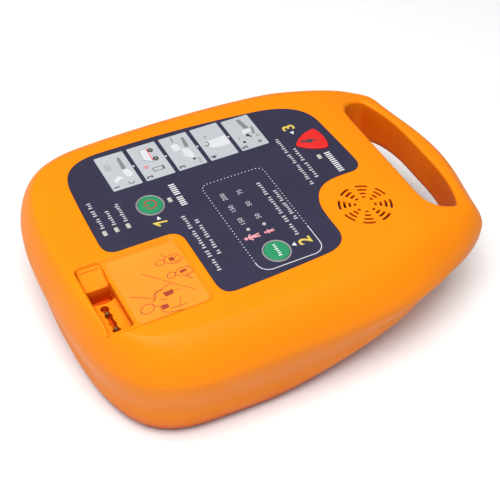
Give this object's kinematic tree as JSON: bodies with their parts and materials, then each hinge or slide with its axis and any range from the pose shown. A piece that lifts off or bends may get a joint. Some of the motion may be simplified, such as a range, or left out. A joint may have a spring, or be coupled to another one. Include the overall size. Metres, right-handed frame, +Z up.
{
  "type": "automated external defibrillator",
  "caption": "Portable automated external defibrillator: moulded case with a carrying handle, keypad, loudspeaker grille, electrode socket and a removable battery.",
  "frame": {"origin": "on the surface that the feet stand on, below the middle of the case", "axes": "+Z up through the panel, +Y from the handle towards the electrode socket, +X to the right of a person reading the panel"},
  "size_m": [0.2236, 0.303, 0.0924],
  "materials": {
    "orange_plastic": "semi-gloss moulded ABS",
    "black_rubber": "matt moulded rubber",
    "overlay_film": "printed satin polyester film",
    "green_key": "satin moulded key",
    "red_key": "satin moulded key",
    "grey_ring": "satin moulded trim",
    "light_window": "clear lacquered window",
    "printed_label": "printed satin film",
    "blank_label": "blank satin film",
    "gold_contact": "gold plated",
    "plated_steel": "bright zinc plate",
    "black_paper": "pressed paper cone",
    "circuit_board": "green solder mask",
    "black_plastic": "fine-textured moulding",
    "cream_plastic": "moulded nylon",
    "ribbon_grey": "grey ribbon insulation",
    "capacitor_sleeve": "shrink sleeve",
    "copper_winding": "enamelled winding wire with varnish",
    "bare_aluminium": "extruded, bare",
    "blue_plastic": "moulded relay cover",
    "red_lead": "silicone insulation",
    "cell_wrap": "printed shrink wrap without marks",
    "spring_steel": "drawn wire",
    "brass_insert": "knurled brass"
  },
  "bodies": {
    "case": {"top_housing": "orange_plastic", "bottom_housing": "orange_plastic", "pads_socket": "orange_plastic", "seam_gasket": "black_rubber", "rubber_feet": "black_rubber", "speaker_gasket": "black_rubber", "keypad_overlay": "overlay_film", "power_button_ring": "grey_ring", "energy_button_ring": "grey_ring", "status_light_windows": "light_window", "pads_label": "printed_label", "rating_label": "blank_label", "pads_contacts": "gold_contact", "battery_contacts": "gold_contact", "speaker_basket": "plated_steel", "speaker_magnet": "plated_steel", "speaker_cone": "black_paper", "keypad_board": "circuit_board", "main_board": "circuit_board", "high_voltage_board": "circuit_board", "tact_switches": "black_plastic", "processor_chips": "black_plastic", "power_transistors": "black_plastic", "microphone": "black_plastic", "status_leds": "light_window", "board_connectors": "cream_plastic", "ribbon_cable": "ribbon_grey", "storage_capacitor": "capacitor_sleeve", "capacitor_clamp": "plated_steel", "charge_transformer": "copper_winding", "heat_sink": "bare_aluminium", "discharge_relay": "blue_plastic", "high_voltage_leads": "red_lead", "latch_spring": "spring_steel", "case_screws": "plated_steel", "board_screws": "plated_steel", "threaded_inserts": "brass_insert"},
    "power_button": {"power_button": "green_key"},
    "energy_button": {"energy_button": "green_key"},
    "shock_button": {"shock_button": "red_key"},
    "battery": {"battery_pack": "black_plastic", "battery_cells": "cell_wrap", "battery_terminals": "gold_contact"},
    "latch": {"battery_latch": "black_plastic"}
  },
  "joints": [
    {"name": "power_button_press", "type": "slide", "parent": "case", "child": "power_button", "axis": [0, 0, -1], "range_m": [0, 0.0008], "stiffness_N_per_m": 2500},
    {"name": "energy_button_press", "type": "slide", "parent": "case", "child": "energy_button", "axis": [0, 0, -1], "range_m": [0, 0.0008], "stiffness_N_per_m": 2500},
    {"name": "shock_button_press", "type": "slide", "parent": "case", "child": "shock_button", "axis": [0, 0, -1], "range_m": [0, 0.0008], "stiffness_N_per_m": 2500},
    {"name": "battery_slide", "type": "slide", "parent": "case", "child": "battery", "axis": [0, 0, -1], "range_m": [0, 0.045]},
    {"name": "latch_slide", "type": "slide", "parent": "case", "child": "latch", "axis": [0, -1, 0], "range_m": [0, 0.004], "stiffness_N_per_m": 600}
  ]
}
